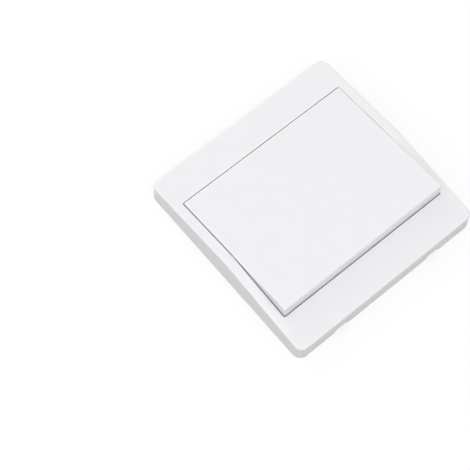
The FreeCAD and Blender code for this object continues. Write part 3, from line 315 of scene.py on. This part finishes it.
def bump(tree, height, depth, under=None):
    """A normal from a height between 0 and 1 and its depth in metres."""
    node = tree.nodes.new("ShaderNodeBump")
    feed(tree, node.inputs["Height"], height)
    feed(tree, node.inputs["Distance"], depth)
    if under is not None:
        tree.links.new(under, node.inputs["Normal"])
    return node.outputs["Normal"]


def moulded_group():
    """Moulded plastic: fine grain, a slow waviness, faint clouds, and ejector marks inside."""
    tree, given, out = new_group(
        "moulded",
        (("Colour", "Color", (0.8, 0.8, 0.8, 1.0)), ("Gloss Low", "Float", 0.3),
         ("Gloss High", "Float", 0.4), ("Grain Depth", "Float", GRAIN_DEPTH),
         ("Grain Size", "Float", GRAIN_SIZE), ("Marks", "Float", 0.0)),
        (("Colour", "Color"), ("Roughness", "Float"), ("Normal", "Vector")))
    where = position(tree)
    facing = tree.nodes.new("ShaderNodeNewGeometry").outputs["Normal"]
    inside = ramp(tree, split(tree, facing)[2], *INSIDE_TILT)
    grain = noise(tree, where, calculate(tree, "DIVIDE", 1.0, given["Grain Size"]), 3.0)
    wave = noise(tree, where, WAVE_SCALE)
    cloud = noise(tree, where, CLOUD_SCALE, 3.0)
    x, y, _ = split(tree, where)
    across = calculate(tree, "PINGPONG", calculate(tree, "ADD", x, MARK_OFFSET), MARK_OFFSET)
    along = calculate(tree, "PINGPONG", calculate(tree, "ADD", y, MARK_OFFSET), MARK_OFFSET)
    outside = ramp(tree, distance(tree, across, along), MARK_RADIUS - MARK_EDGE, MARK_RADIUS)
    raised = calculate(tree, "MULTIPLY", outside,
                       calculate(tree, "MULTIPLY", inside, given["Marks"]))
    swell = bump(tree, wave, WAVE_DEPTH)
    marked = bump(tree, raised, MARK_DEPTH, swell)
    fine = bump(tree, grain, given["Grain Depth"], marked)
    faded = ramp(tree, cloud, NOISE_LOW, NOISE_HIGH, 0.0, CLOUD_SHARE)
    darker = blend(tree, CLOUD_DARKENING, given["Colour"], (0.0, 0.0, 0.0, 1.0))
    rough = ramp(tree, grain, NOISE_LOW, NOISE_HIGH, given["Gloss Low"], given["Gloss High"])
    tree.links.new(blend(tree, faded, given["Colour"], darker), out["Colour"])
    rougher = calculate(tree, "MULTIPLY", inside, INSIDE_ROUGHER)
    tree.links.new(calculate(tree, "ADD", rough, rougher), out["Roughness"])
    tree.links.new(fine, out["Normal"])
    return tree


def drawn_group():
    """Rolled, drawn or turned metal: fine lines along one axis, or in rings round a centre."""
    tree, given, out = new_group(
        "drawn",
        (("Across", "Vector", ALONG_Y), ("Centre", "Vector", (0.0, 0.0, 0.0)),
         ("Rings", "Float", 0.0), ("Gloss Low", "Float", 0.2), ("Gloss High", "Float", 0.35),
         ("Line Depth", "Float", LINE_DEPTH)),
        (("Roughness", "Float"), ("Normal", "Vector")))
    offset = tree.nodes.new("ShaderNodeVectorMath")
    offset.operation = "SUBTRACT"
    tree.links.new(position(tree), offset.inputs[0])
    tree.links.new(given["Centre"], offset.inputs[1])
    scaled = tree.nodes.new("ShaderNodeVectorMath")
    scaled.operation = "MULTIPLY"
    tree.links.new(offset.outputs["Vector"], scaled.inputs[0])
    tree.links.new(given["Across"], scaled.inputs[1])
    x, y, z = split(tree, offset.outputs["Vector"])
    ring = tree.nodes.new("ShaderNodeCombineXYZ")
    tree.links.new(distance(tree, x, y), ring.inputs["X"])
    tree.links.new(z, ring.inputs["Z"])
    choice = tree.nodes.new("ShaderNodeMix")
    choice.data_type = "VECTOR"
    tree.links.new(given["Rings"], choice.inputs["Factor"])
    tree.links.new(scaled.outputs["Vector"], choice.inputs[4])
    tree.links.new(ring.outputs["Vector"], choice.inputs[5])
    lines = noise(tree, choice.outputs[1], LINE_SCALE, 3.0)
    blotch = noise(tree, position(tree), BLOTCH_SCALE)
    both = calculate(tree, "ADD", calculate(tree, "MULTIPLY", lines, 1.0 - BLOTCH_SHARE),
                     calculate(tree, "MULTIPLY", blotch, BLOTCH_SHARE))
    rough = ramp(tree, both, CORE_LOW, CORE_HIGH, given["Gloss Low"], given["Gloss High"])
    tree.links.new(rough, out["Roughness"])
    tree.links.new(bump(tree, lines, given["Line Depth"]), out["Normal"])
    return tree


def laminate_group():
    """A printed board: green mask over a faint glass weave, and bare laminate at its cut edges."""
    tree, given, out = new_group(
        "laminate",
        (("Mask Colour", "Color", (*MASK_GREEN, 1.0)),
         ("Edge Colour", "Color", (*LAMINATE_TAN, 1.0)), ("Weave Size", "Float", WEAVE_SIZE)),
        (("Colour", "Color"), ("Roughness", "Float"), ("Normal", "Vector")))
    where = position(tree)
    x, y, _ = split(tree, where)
    pitch = calculate(tree, "DIVIDE", TURN, given["Weave Size"])
    weft = calculate(tree, "SINE", calculate(tree, "MULTIPLY", x, pitch))
    warp = calculate(tree, "SINE", calculate(tree, "MULTIPLY", y, pitch))
    weave = calculate(tree, "MULTIPLY", weft, warp)
    facing = split(tree, tree.nodes.new("ShaderNodeNewGeometry").outputs["Normal"])[2]
    edge = ramp(tree, calculate(tree, "ABSOLUTE", facing), *CUT_EDGE_TILT)
    cloud = ramp(tree, noise(tree, where, MASK_CLOUD_SCALE, 3.0), CORE_LOW, CORE_HIGH)
    lighter = blend(tree, MASK_CLOUD_SHARE, given["Mask Colour"], (*MASK_LIGHT, 1.0))
    mask = blend(tree, cloud, given["Mask Colour"], lighter)
    tree.links.new(blend(tree, edge, mask, given["Edge Colour"]), out["Colour"])
    gloss = ramp(tree, cloud, 0.0, 1.0, *MASK_ROUGHNESS)
    tree.links.new(ramp(tree, edge, 0.0, 1.0, gloss, CUT_EDGE_ROUGHNESS), out["Roughness"])
    fine = bump(tree, ramp(tree, weave, -1.0, 1.0), WEAVE_DEPTH)
    dimples = noise(tree, where, MASK_DIMPLE_SCALE)
    tree.links.new(bump(tree, dimples, FINE_GRAIN_DEPTH, fine), out["Normal"])
    return tree


MOULDED = moulded_group()
DRAWN = drawn_group()
LAMINATE = laminate_group()


def plastic(name, colour, low, high, grain=GRAIN_DEPTH, size=GRAIN_SIZE, marks=0.0, depth=0.0):
    """A moulded plastic; low and high are its roughness, and light goes in as far as depth."""
    shader = Shader(name, colour, high)
    if depth:
        shader.set("Subsurface Weight", 1.0)
        shader.set("Subsurface Radius", (1.0, 1.0, 1.0))
        shader.set("Subsurface Scale", depth)
    node = shader.group(MOULDED, Colour=(*colour, 1.0), Gloss_Low=low, Gloss_High=high,
                        Grain_Depth=grain, Grain_Size=size, Marks=marks)
    shader.link(node, ("Colour", "Base Color"), ("Roughness", "Roughness"), ("Normal", "Normal"))
    return shader.material


def metal(name, colour, low, high, across=ALONG_Y, centre=None, depth=LINE_DEPTH):
    """A metal whose lines run along an axis, or in rings round a centre."""
    shader = Shader(name, colour, high, 1.0)
    node = shader.group(DRAWN, Across=across, Centre=centre or (0.0, 0.0, 0.0),
                        Rings=1.0 if centre else 0.0, Gloss_Low=low, Gloss_High=high,
                        Line_Depth=depth)
    shader.link(node, ("Roughness", "Roughness"), ("Normal", "Normal"))
    return shader.material


def chip_part(name, body, middle, half_body, low, high):
    """A chip capacitor or resistor: its body between two tinned ends along Y."""
    shader = Shader(name, body, high)
    tree = shader.tree
    _, y, _ = split(tree, position(tree))
    away = calculate(tree, "ABSOLUTE", calculate(tree, "SUBTRACT", y, middle))
    end = ramp(tree, away, half_body - CHIP_END_BLUR, half_body + CHIP_END_BLUR)
    grain = noise(tree, position(tree), CHIP_GRAIN_SCALE)
    darker = tuple(CHIP_GRAIN_TONE * value for value in body)
    share = ramp(tree, grain, NOISE_LOW, NOISE_HIGH, 0.0, CHIP_GRAIN_SHARE)
    tone = blend(tree, share, (*body, 1.0), (*darker, 1.0))
    tree.links.new(blend(tree, end, tone, TINNED), shader.surface.inputs["Base Color"])
    tree.links.new(end, shader.surface.inputs["Metallic"])
    tree.links.new(ramp(tree, grain, NOISE_LOW, NOISE_HIGH, low, high),
                   shader.surface.inputs["Roughness"])
    tree.links.new(bump(tree, grain, FINE_GRAIN_DEPTH), shader.surface.inputs["Normal"])
    return shader.material


def middle_of(node):
    """The middle of a node's box."""
    low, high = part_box(node)
    return (low + high) / 2


LOOKS = {
    "front_frame": plastic("plate_plastic", WHITE, 0.30, 0.40, marks=1.0, depth=WHITE_DEPTH),
    "rocker_key": plastic("key_plastic", WHITE, 0.28, 0.38, marks=1.0, depth=WHITE_DEPTH),
    "mounting_base": plastic("base_plastic", (0.78, 0.78, 0.79), 0.42, 0.56, 0.008 * MM,
                             0.4 * MM, marks=1.0, depth=WHITE_DEPTH),
    "board_screws": metal("screw_nickel", (0.72, 0.70, 0.66), 0.18, 0.30),
    "return_spring_left": metal("spring_steel", (0.60, 0.60, 0.61), 0.22, 0.36),
    "tact_base": plastic("switch_black", (0.02, 0.02, 0.022), 0.35, 0.5),
    "tact_dome": metal("dome_steel", (0.70, 0.69, 0.66), 0.15, 0.28,
                       centre=tuple(middle_of("tact_dome"))),
    "tact_plunger": plastic("plunger_black", (0.025, 0.025, 0.028), 0.3, 0.45),
    "tact_cover": metal("cover_steel", (0.70, 0.70, 0.70), 0.2, 0.35),
    "tact_terminals": metal("terminal_silver", (0.78, 0.76, 0.72), 0.2, 0.35),
    "coin_cell": metal("cell_steel", (0.72, 0.72, 0.72), 0.18, 0.34,
                       centre=tuple(middle_of("coin_cell"))),
    "cell_holder": plastic("holder_black", (0.03, 0.03, 0.032), 0.4, 0.55, 0.006 * MM),
    "positive_contact": metal("contact_nickel", (0.72, 0.70, 0.65), 0.2, 0.32, ALONG_X),
    "encoder_chip": plastic("chip_epoxy", (0.018, 0.018, 0.02), 0.5, 0.65, 0.01 * MM, 0.12 * MM),
    "encoder_leads": metal("lead_tin", (0.75, 0.75, 0.74), 0.25, 0.4, ALONG_X),
    "saw_resonator": metal("can_nickel", (0.70, 0.70, 0.68), 0.16, 0.3, ALONG_X),
    "antenna_loop": metal("bare_copper", (0.72, 0.38, 0.2), 0.25, 0.4),
    "chip_capacitors": chip_part("capacitor_ceramic", (0.42, 0.30, 0.18),
                                 middle_of("chip_capacitors").y, CHIP_HALF_BODY, 0.4, 0.55),
    "chip_resistors": chip_part("resistor_glaze", (0.03, 0.03, 0.032),
                                middle_of("chip_resistors").y, CHIP_HALF_BODY, 0.2, 0.35),
}
SAME_LOOK = {
    "return_spring_right": "return_spring_left",
    "negative_contact": "positive_contact",
    "rf_transistor": "encoder_chip",
}
BOARD = Shader("solder_mask", MASK_GREEN, 0.28)
BOARD.link(BOARD.group(LAMINATE), ("Colour", "Base Color"), ("Roughness", "Roughness"),
           ("Normal", "Normal"))
LOOKS["circuit_board"] = BOARD.material
SOLDER = metal("solder", (0.74, 0.74, 0.73), 0.12, 0.3, ALL_WAYS, depth=0.001 * MM)
TRACK = plastic("mask_over_copper", (0.045, 0.25, 0.11), 0.22, 0.3)
GASKET = plastic("cell_gasket", (0.05, 0.05, 0.055), 0.4, 0.55)


def dress(name, node):
    """Puts a node's material in all its slots."""
    material = LOOKS[SAME_LOOK.get(name, name)]
    if not node.data.materials:
        node.data.materials.append(material)
    for index in range(len(node.data.materials)):
        node.data.materials[index] = material


def soften(name, width):
    """Rounds a node's sharp edges with modifiers; its mesh stays as it came."""
    node = NODES[name]
    weld = node.modifiers.new("weld", "WELD")
    weld.merge_threshold = WELD_DISTANCE
    edge = node.modifiers.new("soft_edges", "BEVEL")
    edge.width = width
    edge.segments = SOFT_SEGMENTS
    edge.limit_method = "ANGLE"
    edge.angle_limit = SOFT_ANGLE
    edge.use_clamp_overlap = True


# Pieces that are made here.

def add_piece(name, points, faces, material, slot, body="case", smooth=True):
    """A mesh piece that rides on a body, with one material."""
    mesh = bpy.data.meshes.new(name)
    mesh.from_pydata([tuple(point) for point in points], [], [tuple(face) for face in faces])
    mesh.polygons.foreach_set("use_smooth", [smooth] * len(mesh.polygons))
    mesh.materials.append(material)
    mesh.validate()
    mesh.update()
    if smooth:
        mesh.set_sharp_from_angle(angle=SHARP_ANGLE)
    piece = bpy.data.objects.new(name, mesh)
    bpy.context.scene.collection.objects.link(piece)
    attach(piece, body)
    return piece


def grid_faces(rows, columns, closed_rows=False, closed_columns=False):
    """Quads over a grid of points that is stored row by row."""
    row = np.arange(rows if closed_rows else rows - 1)[:, None]
    column = np.arange(columns if closed_columns else columns - 1)[None]
    next_row = (row + 1) % rows
    next_column = (column + 1) % columns
    corners = [row * columns + column, row * columns + next_column,
               next_row * columns + next_column, next_row * columns + column]
    return np.stack(corners, 2).reshape(-1, 4).tolist()


def flat_ends(rows, columns):
    """One face over the first row of a grid and one over the last, wound as its quads are."""
    last = (rows - 1) * columns
    return [tuple(reversed(range(columns))), tuple(range(last, last + columns))]


def rings_of(radius, height, angle):
    """Rings of points about an upright axis; a row each of radii and of heights."""
    radius, height, angle = np.broadcast_arrays(radius, height, angle)
    return np.stack([radius * np.cos(angle), radius * np.sin(angle), height], 2)


def turned(profile, centre, segments=48, hollow=False):
    """A closed shape: a profile of (radius, height) turned about an upright axis.

    The profile runs from the bottom outwards and up to the top. A hollow shape joins its last
    point to its first, and any other has a flat face at each end.
    """
    angle = np.arange(segments)[None] * TURN / segments
    profile = np.array(profile, float)
    points = rings_of(profile[:, :1], profile[:, 1:], angle)
    faces = grid_faces(len(profile), segments, closed_rows=hollow, closed_columns=True)
    if not hollow:
        faces += flat_ends(len(profile), segments)
    return points.reshape(-1, 3) + np.array(centre), faces


def joined(shapes):
    """Several (points, faces) as one."""
    points, faces, first = [], [], 0
    for more, sides in shapes:
        points.append(np.asarray(more, float))
        faces.extend(tuple(first + index for index in side) for side in sides)
        first += len(more)
    return np.concatenate(points), faces


def coil(centre, radius, wire, low, high, turns, per_turn=28, around=10):
    """A compression spring of round wire.

    The middle of the wire goes round the axis. It climbs by the wire's thickness in the closed
    turn at each end, and evenly between them. A circle square to it gives the wire.
    """
    count = int(turns * per_turn) + 1
    t = np.linspace(0.0, turns, count)
    closed = SPRING_CLOSED_TURNS
    share = np.clip((t - closed) / (turns - 2 * closed), 0.0, 1.0)
    ends = 2 * wire * (np.clip(t, 0, closed) + np.clip(t - turns + closed, 0, closed))
    rise = high - low - 2 * wire - 2 * wire * 2 * closed
    height = low + wire + ends + rise * share
    angle = t * TURN
    out = np.stack([np.cos(angle), np.sin(angle), np.zeros(count)], 1)
    middle = out * radius + np.stack([np.zeros(count), np.zeros(count), height], 1)
    middle += np.array([centre[0], centre[1], 0.0])
    along = np.gradient(middle, axis=0)
    along /= np.linalg.norm(along, axis=1, keepdims=True)
    side = np.cross(along, out)
    turn = np.arange(around) * TURN / around
    points = (middle[:, None] + wire * (np.cos(turn)[None, :, None] * out[:, None]
                                        + np.sin(turn)[None, :, None] * side[:, None]))
    faces = grid_faces(count, around, closed_columns=True) + flat_ends(count, around)
    return points.reshape(-1, 3), faces


def add_springs():
    """The two return springs as round wire."""
    for side in ("left", "right"):
        node = "return_spring_" + side
        low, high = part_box(node)
        middle = (low + high) / 2
        radius = (high.x - low.x) / 2 - SPRING_WIRE
        points, faces = coil(middle, radius, SPRING_WIRE, low.z, high.z, SPRING_TURNS)
        piece = add_piece("wound_spring_" + side, points, faces, LOOKS["return_spring_left"],
                          "return_spring")
        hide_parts(node)
        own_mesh(piece)


def screw(centre, top, head, head_height, shank, length, segments=64):
    """A pan-head screw, as rings from the middle of its head down to its tip.

    The head falls with the square of the radius, less a cross whose arms narrow outwards. The
    shank's radius rises and falls evenly once in each turn of the thread, which runs in at the
    head, and the tip tapers.
    """
    angle = np.arange(segments)[None] * TURN / segments
    share = np.linspace(0.02, 1.0, 22)[:, None]
    across = np.abs(head * share * np.cos(angle))
    along = np.abs(head * share * np.sin(angle))
    narrow, wide = np.minimum(across, along), np.maximum(across, along)
    arm_half, arm_side = 0.24 * head, 0.06 * head
    arm_reach, arm_end = 0.62 * head, 0.25 * head
    inside = np.clip((arm_half * (1.15 - 0.5 * wide / head) - narrow) / arm_side, 0, 1)
    inside *= np.clip((arm_reach - wide) / arm_end, 0, 1)
    crown_fall, recess_depth = 0.22 * head_height, 0.55 * head_height
    crown = rings_of(head * share, top - crown_fall * share ** 2 - recess_depth * inside, angle)

    rim = np.array([(1.0, 0.45), (1.0, 0.92), (0.96, 1.0)])
    side = rings_of(head * rim[:, :1], top - head_height * rim[:, 1:], angle)

    core, thread_height, thread_start = 0.80 * shank, 0.18 * shank, 0.125
    tip_start, tip_cut = 0.8, 0.35
    share = np.linspace(0.0, 1.0, 40)[:, None]
    height = top - head_height - length * share
    phase = (height / SCREW_PITCH - angle / TURN) % 1.0
    thread = thread_height * (1.0 - np.abs(2.0 * phase - 1.0))
    thread *= np.minimum(1.0, share / thread_start)
    taper = 1.0 - tip_cut * np.maximum(0.0, share - tip_start) / (1.0 - tip_start)
    stem = rings_of((core + thread) * taper, height, angle)

    rings = np.concatenate([crown, side, stem])
    faces = grid_faces(len(rings), segments, closed_columns=True) + flat_ends(len(rings), segments)
    points = rings.reshape(-1, 3) + np.array([centre[0], centre[1], 0.0])
    return points, [tuple(reversed(face)) for face in faces]


def add_screws():
    """The two board screws with their heads and threads."""
    low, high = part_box("board_screws")
    length = high.z - low.z - SCREW_HEAD_HEIGHT
    shapes = []
    for sign in (1, -1):
        place = (sign * (high.x - SCREW_HEAD), sign * (high.y - SCREW_HEAD))
        shapes.append(screw(place, high.z, SCREW_HEAD, SCREW_HEAD_HEIGHT, SCREW_SHANK, length))
    piece = add_piece("threaded_screws", *joined(shapes), LOOKS["board_screws"], "board_screws")
    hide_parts("board_screws")


def millimetres(rows, radius=0.0):
    """A profile in millimetres as metres; with a radius, its distances go in from that."""
    if radius:
        return [(radius - inset * MM, height * MM) for inset, height in rows]
    return [(away * MM, height * MM) for away, height in rows]


def add_cell():
    """The coin cell: a steel can crimped over a gasket that holds the negative cap.

    Each is turned. The crimp is a quarter of an ellipse and the upper edge a quarter circle.
    """
    low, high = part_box("coin_cell")
    middle = (low + high) / 2
    radius = (high.x - low.x) / 2
    height = high.z - low.z
    centre = (middle.x, middle.y, low.z)
    can = millimetres(CELL_LIP, radius)
    can += [(radius - CRIMP_MIDDLE + CRIMP_ACROSS * math.cos(a),
             CRIMP_MIDDLE - CRIMP_DOWN * math.sin(a))
            for a in np.linspace(math.pi / 2, 0.1, 6)]
    can += millimetres(CELL_SIDE, radius)
    can += [(radius - CELL_EDGE * (1.0 - math.sin(a)), height - CELL_EDGE * (1.0 - math.cos(a)))
            for a in np.linspace(math.pi / 2, 0.3, 6)]
    can += [(radius - CELL_EDGE, height), (radius * CELL_DISH_EDGES[0], height),
            (radius * CELL_DISH_EDGES[1], height - CELL_DISH)]
    piece = add_piece("cell_can", *turned(can, centre, CELL_SEGMENTS), LOOKS["coin_cell"],
                      "coin_cell")
    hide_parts("coin_cell")
    seal = turned(millimetres(CELL_SEAL, radius), centre, CELL_SEGMENTS, hollow=True)
    add_piece("cell_seal", *seal, GASKET, "cell_holder")
    cap = turned(millimetres(CELL_CAP, radius), centre, CELL_SEGMENTS)
    add_piece("cell_cap", *cap, LOOKS["coin_cell"], "coin_cell")


def fillet(centre, across, along, rise, rings=7, segments=SMALL_SEGMENTS):
    """A cone of solder that flares out on the board.

    Its outline is an ellipse with fuller corners, and its height is the rise times the share
    of the way in to the power 1.7.
    """
    angle = np.arange(segments)[None] * TURN / segments
    share = np.linspace(1.0, 0.05, rings)[:, None]
    square = 0.82 + 0.18 * np.cos(2 * angle) ** 2
    points = rings_of(share / square, rise * (1 - share) ** 1.7, angle)
    points *= np.array([across, along, 1.0])
    faces = grid_faces(rings, segments, closed_columns=True) + flat_ends(rings, segments)
    return points.reshape(-1, 3) + np.array(centre), faces


def spread(low, high, inset, count):
    """Even places between two ends and in from them; a single one is in the middle."""
    if count == 1:
        return [(low + high) / 2]
    return np.linspace(low + inset * MM, high - inset * MM, count)


def add_solder():
    """Solder round the feet of the parts on the board."""
    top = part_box("circuit_board")[1].z
    shapes = []
    for node, insets, counts, joint in FEET:
        low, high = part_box(node)
        size = [length * MM for length in joint]
        for x in spread(low.x, high.x, insets[0], counts[0]):
            for y in spread(low.y, high.y, insets[1], counts[1]):
                shapes.append(fillet((x, y, top), *size))
    low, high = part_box("positive_contact")
    foot = (low.x + CONTACT_FOOT_INSET, (low.y + high.y) / 2, top)
    shapes.append(fillet(foot, *CONTACT_FOOT))
    add_piece("solder_joints", *joined(shapes), SOLDER, "chip_leads")


def ribbon(route, width, floor, rise):
    """A flat track along a route of (x, y) points in millimetres.

    Its four corners are carried along the route, and at a bend they lie on the line that halves
    it. Its sides slope, because its top is narrower than its foot.
    """
    route = np.array(route, float) * MM
    ahead = np.diff(route, axis=0)
    ahead /= np.linalg.norm(ahead, axis=1, keepdims=True)
    before = np.concatenate([ahead[:1], ahead])
    after = np.concatenate([ahead, ahead[-1:]])
    mitre = before + after
    mitre /= np.linalg.norm(mitre, axis=1, keepdims=True)
    side = np.stack([-mitre[:, 1], mitre[:, 0]], 1)
    side /= np.maximum(np.sum(mitre * after, 1), 0.5)[:, None]
    foot, shoulder = width / 2, TRACK_TOP_SHARE * width / 2
    out = np.array([foot, shoulder, -shoulder, -foot])[None, :, None]
    level = floor + np.array([0.0, rise, rise, 0.0])[None, :, None]
    level = np.broadcast_to(level, (len(route), 4, 1))
    points = np.concatenate([route[:, None] + side[:, None] * out, level], 2)
    faces = grid_faces(len(route), 4, closed_columns=True) + flat_ends(len(route), 4)
    return points.reshape(-1, 3), faces


def add_tracks():
    """Copper tracks under the solder mask, and tinned vias where they change sides."""
    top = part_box("circuit_board")[1].z
    shapes = [ribbon(route, TRACK_WIDTH, top, TRACK_RISE) for route in TRACK_ROUTES]
    add_piece("copper_tracks", *joined(shapes), TRACK, "circuit_board", smooth=False)
    via = millimetres(VIA_PROFILE)
    shapes = [turned(via, (x * MM, y * MM, top), SMALL_SEGMENTS, hollow=True)
              for x, y in VIA_PLACES]
    add_piece("plated_vias", *joined(shapes), SOLDER, "chip_leads")


def add_switch_studs():
    """The four swaged studs that hold the push switch's cover."""
    low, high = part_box("tact_cover")
    dome = millimetres(STUD_PROFILE)
    shapes = [turned(dome, (x, y, high.z - STUD_SINK), SMALL_SEGMENTS)
              for x in (low.x + STUD_INSET, high.x - STUD_INSET)
              for y in (low.y + STUD_INSET, high.y - STUD_INSET)]
    add_piece("cover_studs", *joined(shapes), LOOKS["tact_base"], "tact_base")


for node_name, node_object in NODES.items():
    dress(node_name, node_object)
for node_name, soft_width in SOFT_EDGES:
    soften(node_name, soft_width * MM)
add_springs()
add_screws()
add_cell()
add_solder()
add_tracks()
add_switch_studs()


# Camera, light and floor.

def add_camera():
    """The camera at the photograph's angle."""
    data = bpy.data.cameras.new("camera")
    data.lens = CAMERA_LENS
    data.sensor_width = CAMERA_SENSOR
    data.clip_start = CAMERA_NEAR
    data.clip_end = CAMERA_FAR
    camera = bpy.data.objects.new("camera", data)
    turn = Matrix((CAMERA_RIGHT, CAMERA_UP, CAMERA_BACK)).transposed().to_4x4()
    camera.matrix_world = Matrix.Translation(Vector(CAMERA_PLACE)) @ turn
    bpy.context.scene.collection.objects.link(camera)
    bpy.context.scene.camera = camera


def add_lamp(name, place, size, power):
    """A square soft lamp at place that shines at the object."""
    data = bpy.data.lights.new(name, "AREA")
    data.shape = "SQUARE"
    data.size = size
    data.energy = power
    lamp = bpy.data.objects.new(name, data)
    lamp.location = place
    lamp.rotation_euler = (-Vector(place)).to_track_quat("-Z", "Y").to_euler()
    bpy.context.scene.collection.objects.link(lamp)


def seen_directly(tree):
    """1 for what the camera, gloss and glass see, and 0 for light itself."""
    path = tree.nodes.new("ShaderNodeLightPath").outputs
    mirrored = calculate(tree, "MAXIMUM", path["Is Glossy Ray"], path["Is Transmission Ray"])
    return calculate(tree, "MAXIMUM", path["Is Camera Ray"], mirrored)


def set_world():
    """An even pale sky that is seen as white."""
    world = bpy.data.worlds.new("sky")
    bpy.context.scene.world = world
    world.use_nodes = True
    tree = world.node_tree
    sky = tree.nodes["Background"]
    sky.inputs["Color"].default_value = (1.0, 1.0, 1.0, 1.0)
    tree.links.new(ramp(tree, seen_directly(tree), 0.0, 1.0, SKY_LEVEL, 1.0),
                   sky.inputs["Strength"])


def add_floor():
    """A plain floor; a glow that only the camera and gloss see brings it to white."""
    half, low = FLOOR_HALF, -FLOOR_DROP
    mesh = bpy.data.meshes.new("floor")
    mesh.from_pydata([(-half, -half, low), (half, -half, low), (half, half, low),
                      (-half, half, low)], [], [(0, 1, 2, 3)])
    floor = bpy.data.objects.new("floor", mesh)
    bpy.context.scene.collection.objects.link(floor)
    shader = Shader("floor_white", (FLOOR_SHADE,) * 3, FLOOR_ROUGHNESS)
    shader.set("Specular IOR Level", 0.0)
    shader.set("Emission Color", (1.0, 1.0, 1.0, 1.0))
    tree = shader.tree
    tree.links.new(calculate(tree, "MULTIPLY", seen_directly(tree), FLOOR_GLOW),
                   shader.surface.inputs["Emission Strength"])
    mesh.materials.append(shader.material)


add_camera()
set_world()
add_floor()
for lamp_name, lamp_place, lamp_size, lamp_power in LAMPS:
    add_lamp(lamp_name, lamp_place, lamp_size, lamp_power)
bpy.context.scene.view_settings.view_transform = "Standard"
